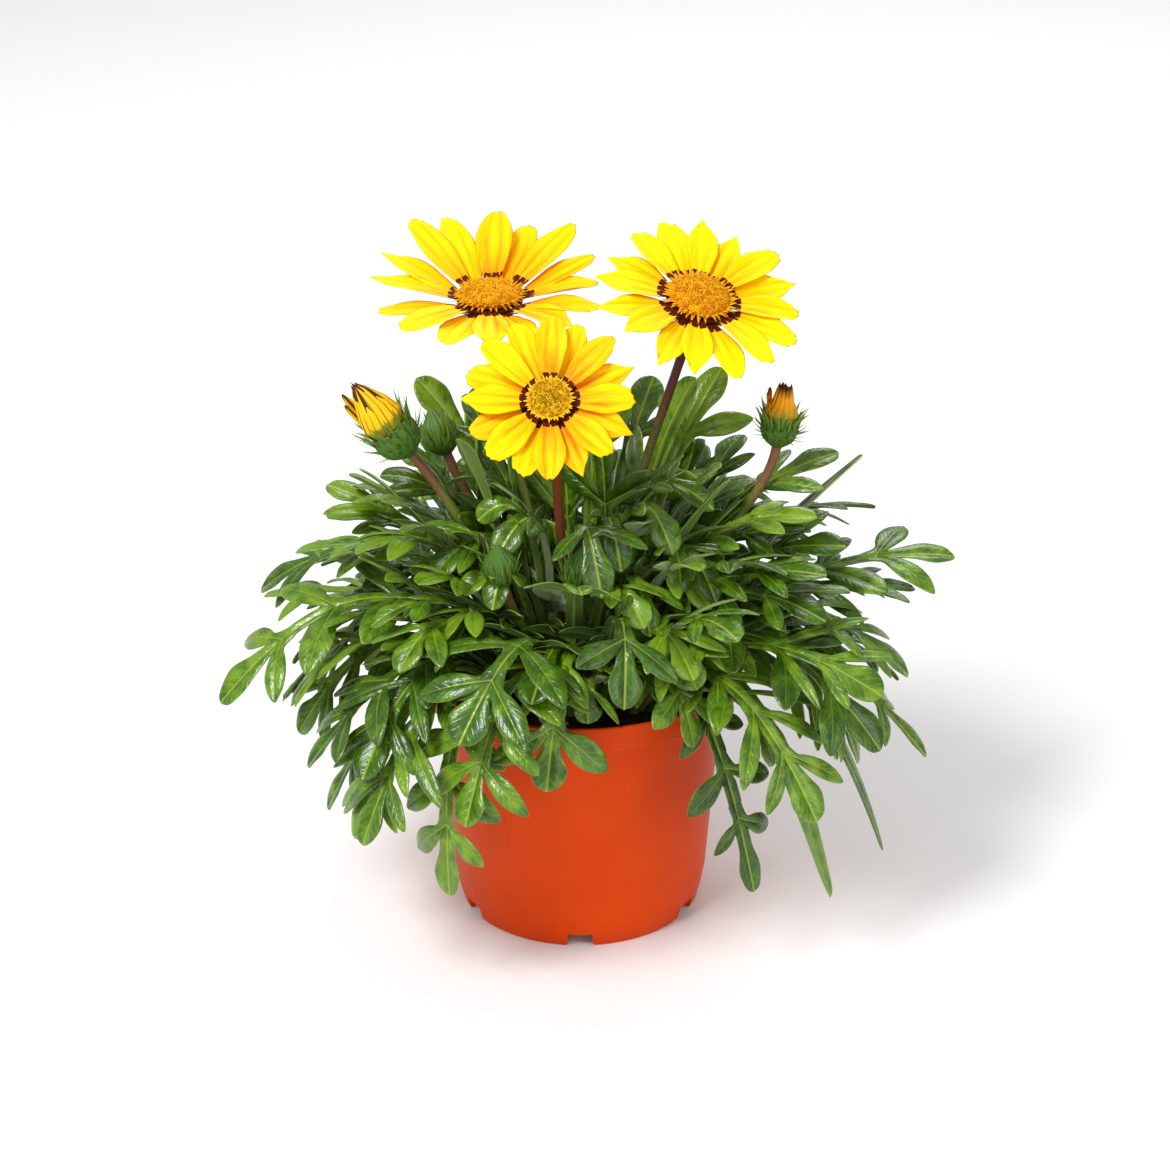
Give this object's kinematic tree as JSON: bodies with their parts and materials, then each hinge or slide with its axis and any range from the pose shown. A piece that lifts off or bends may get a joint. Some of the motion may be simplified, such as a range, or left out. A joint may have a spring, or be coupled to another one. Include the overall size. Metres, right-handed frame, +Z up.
{
  "type": "potted gazania",
  "caption": "Potted gazania: round plastic nursery pot with soil, a rosette of lobed leaves, open daisy flowers on tall stems, and coloured and green buds.",
  "frame": {"origin": "on the surface that the pot stands on, below the centre of the whole plant's bounding box", "axes": "+Z up along the pot's axis; -Y towards the side that the front flower faces; +X to the right seen from there"},
  "size_m": [0.2672, 0.211, 0.2502],
  "materials": {
    "pot_plastic": "satin",
    "potting_soil": "matte",
    "leaf": "satin",
    "petal": "satin",
    "floret_disc": "matte",
    "bud_ray": "satin",
    "flower_stem": "satin",
    "bud_green": "satin"
  },
  "bodies": {
    "root": {"pot": "pot_plastic", "soil": "potting_soil", "flower_left_stem_and_cup": "flower_stem", "flower_left_petals": "petal", "flower_left_disc": "floret_disc", "flower_right_stem_and_cup": "flower_stem", "flower_right_petals": "petal", "flower_right_disc": "floret_disc", "flower_front_stem_and_cup": "flower_stem", "flower_front_petals": "petal", "flower_front_disc": "floret_disc", "bud_left_stem_and_cup": "bud_green", "bud_left_rays": "bud_ray", "bud_right_stem_and_cup": "bud_green", "bud_right_rays": "bud_ray", "green_bud_rear": "bud_green", "green_bud_centre_left": "bud_green", "green_bud_centre_right": "bud_green", "leaf_01": "leaf", "leaf_02": "leaf", "leaf_03": "leaf", "leaf_04": "leaf", "leaf_05": "leaf", "leaf_06": "leaf", "leaf_07": "leaf", "leaf_08": "leaf", "leaf_09": "leaf", "leaf_10": "leaf", "leaf_11": "leaf", "leaf_12": "leaf", "leaf_13": "leaf", "leaf_14": "leaf", "leaf_15": "leaf", "leaf_16": "leaf", "leaf_17": "leaf", "leaf_18": "leaf", "leaf_19": "leaf", "leaf_20": "leaf", "leaf_21": "leaf", "leaf_22": "leaf", "leaf_23": "leaf", "leaf_24": "leaf", "leaf_25": "leaf", "leaf_26": "leaf", "leaf_27": "leaf", "leaf_28": "leaf", "leaf_29": "leaf", "leaf_30": "leaf", "leaf_31": "leaf", "leaf_32": "leaf", "leaf_33": "leaf", "leaf_34": "leaf", "leaf_35": "leaf", "leaf_36": "leaf", "leaf_37": "leaf", "leaf_38": "leaf", "leaf_39": "leaf", "leaf_40": "leaf", "leaf_41": "leaf"}
  },
  "joints": []
}
